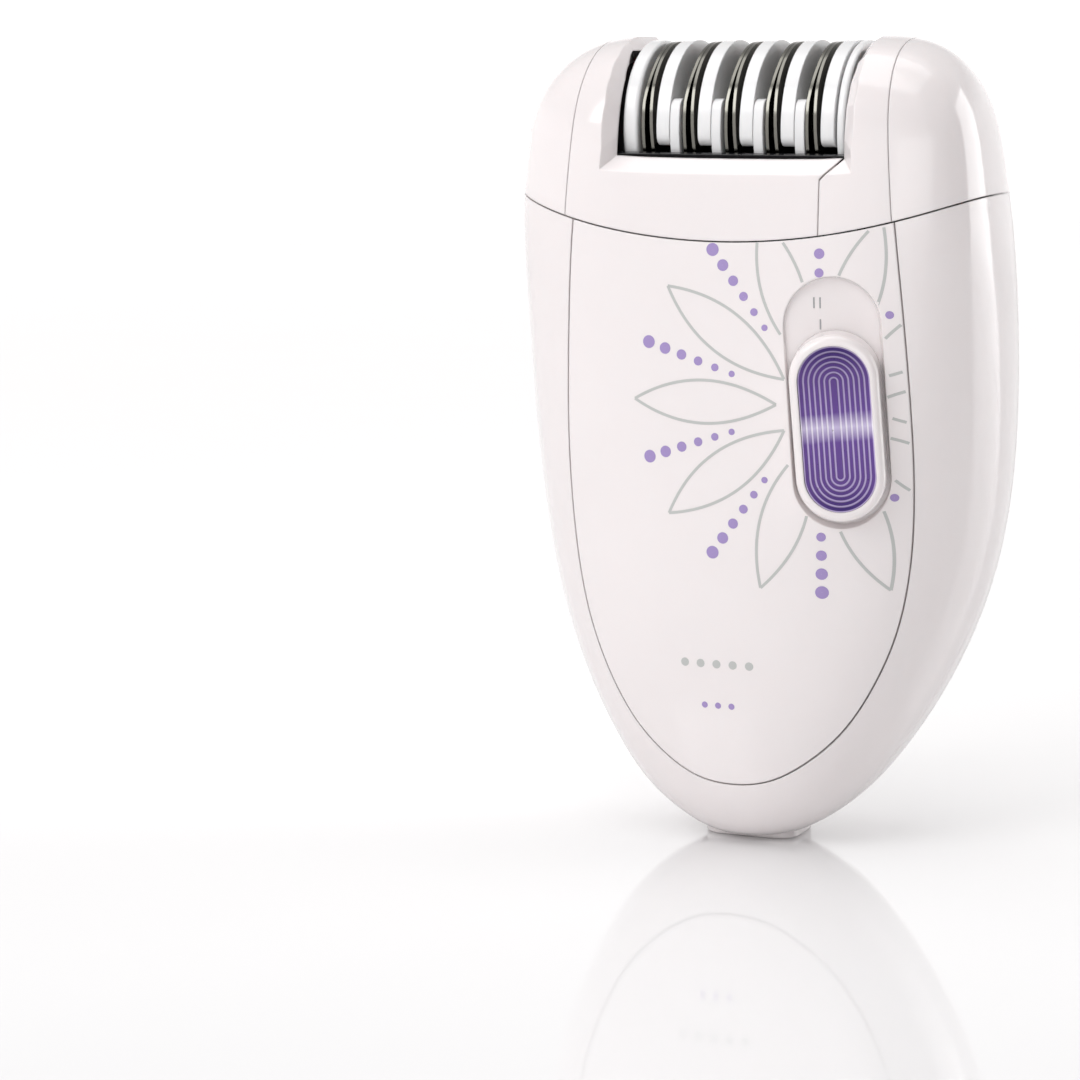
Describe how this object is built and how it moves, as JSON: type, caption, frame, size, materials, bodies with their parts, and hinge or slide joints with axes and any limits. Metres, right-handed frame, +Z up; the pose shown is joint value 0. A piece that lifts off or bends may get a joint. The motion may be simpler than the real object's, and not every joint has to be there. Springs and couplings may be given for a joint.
{
  "type": "epilator",
  "caption": "Palm-held corded epilator: rounded white body with a thumb slide switch and a lift-off head whose turning cylinder of tweezer discs shows through a window.",
  "frame": {"origin": "centre of the flat foot around the power inlet, on the surface the body stands on", "axes": "+Z up through the head, -Y towards the front with the panel and switch, +X to the right of someone facing the front"},
  "size_m": [0.0708, 0.0429, 0.114],
  "materials": {
    "body_abs": "gloss",
    "panel_abs": "gloss",
    "deck_plastic": "matte",
    "switch_white": "gloss",
    "switch_purple": "satin, anodised purple",
    "inner_plastic": "matte",
    "black_plastic": "gloss",
    "rib_white": "gloss",
    "disc_steel": "satin",
    "shaft_steel": "ground",
    "gear_acetal": "matte",
    "brass_part": "turned",
    "board_green": "matte",
    "copper_wound": "enamelled",
    "can_steel": "zinc plated",
    "magnet_ferrite": "matte",
    "laminated_steel": "matte",
    "lead_red": "matte",
    "seal_rubber": "matte",
    "pin_plated": "nickel plated",
    "screw_steel": "plated",
    "spring_steel": "drawn wire"
  },
  "bodies": {
    "body": {"front_housing": "body_abs", "rear_housing": "body_abs", "front_panel": "panel_abs", "top_deck": "deck_plastic", "deck_screws": "screw_steel", "slide_switch_body": "black_plastic", "switch_board": "board_green", "inlet_socket": "body_abs", "inlet_pins": "pin_plated", "power_board": "board_green", "board_screws": "screw_steel", "choke_coils": "copper_wound", "filter_capacitor": "black_plastic", "inlet_leads": "lead_red", "motor_leads": "lead_red", "motor_can": "can_steel", "motor_end_cap": "black_plastic", "motor_terminals": "brass_part", "motor_magnets": "magnet_ferrite", "motor_rings": "seal_rubber", "shaft_seal": "seal_rubber", "release_spring": "spring_steel"},
    "switch": {"switch_button": "switch_white", "switch_insert": "switch_purple", "switch_stem": "inner_plastic"},
    "release": {"release_button": "body_abs"},
    "motor_rotor": {"motor_shaft": "shaft_steel", "motor_armature": "laminated_steel", "motor_pinion": "brass_part"},
    "head": {"head_cover": "body_abs", "head_side_cap_left": "body_abs", "head_side_cap_right": "body_abs", "head_frame": "black_plastic", "head_screws": "screw_steel", "rotor_bushes": "brass_part", "idler_axle": "shaft_steel", "debris_tray": "black_plastic"},
    "cross_train": {"crown_gear": "gear_acetal", "cross_shaft": "shaft_steel", "drive_pinion": "gear_acetal"},
    "idler": {"idler_gear": "gear_acetal"},
    "cylinder": {"rotor_shaft": "shaft_steel", "rotor_gear": "gear_acetal", "rotor_core": "black_plastic", "end_flanges": "rib_white", "white_ribs_upper": "rib_white", "white_ribs_lower": "rib_white", "tweezer_discs": "disc_steel"}
  },
  "joints": [
    {"name": "head_release", "type": "slide", "parent": "body", "child": "head", "axis": [0, 0, 1], "range_m": [0, 0.025]},
    {"name": "cylinder_spin", "type": "hinge", "parent": "head", "child": "cylinder", "pos_m": [0, -0.0015, 0.1015], "axis": [1, 0, 0], "continuous": true},
    {"name": "crown_spin", "type": "hinge", "parent": "head", "child": "cross_train", "pos_m": [0, 0, 0.082], "axis": [1, 0, 0], "continuous": true},
    {"name": "idler_spin", "type": "hinge", "parent": "head", "child": "idler", "pos_m": [0, 0.00513, 0.0894], "axis": [1, 0, 0], "continuous": true},
    {"name": "motor_spin", "type": "hinge", "parent": "body", "child": "motor_rotor", "pos_m": [0, 0, 0.058], "axis": [0, 0, 1], "continuous": true},
    {"name": "switch_slide", "type": "slide", "parent": "body", "child": "switch", "axis": [-0.0627, -0.0801, 0.9948], "range_m": [0, 0.0068]},
    {"name": "release_press", "type": "slide", "parent": "body", "child": "release", "axis": [0, -1, 0], "range_m": [0, 0.0015], "stiffness_N_per_m": 400, "springref_m": -0.0025, "deforming": ["release_spring"]}
  ],
  "couplings": [
    {"joint": "crown_spin", "follows": "cylinder_spin", "ratio": 2.1429},
    {"joint": "idler_spin", "follows": "cylinder_spin", "ratio": -1.875},
    {"joint": "motor_spin", "follows": "cylinder_spin", "ratio": 4.2857}
  ]
}
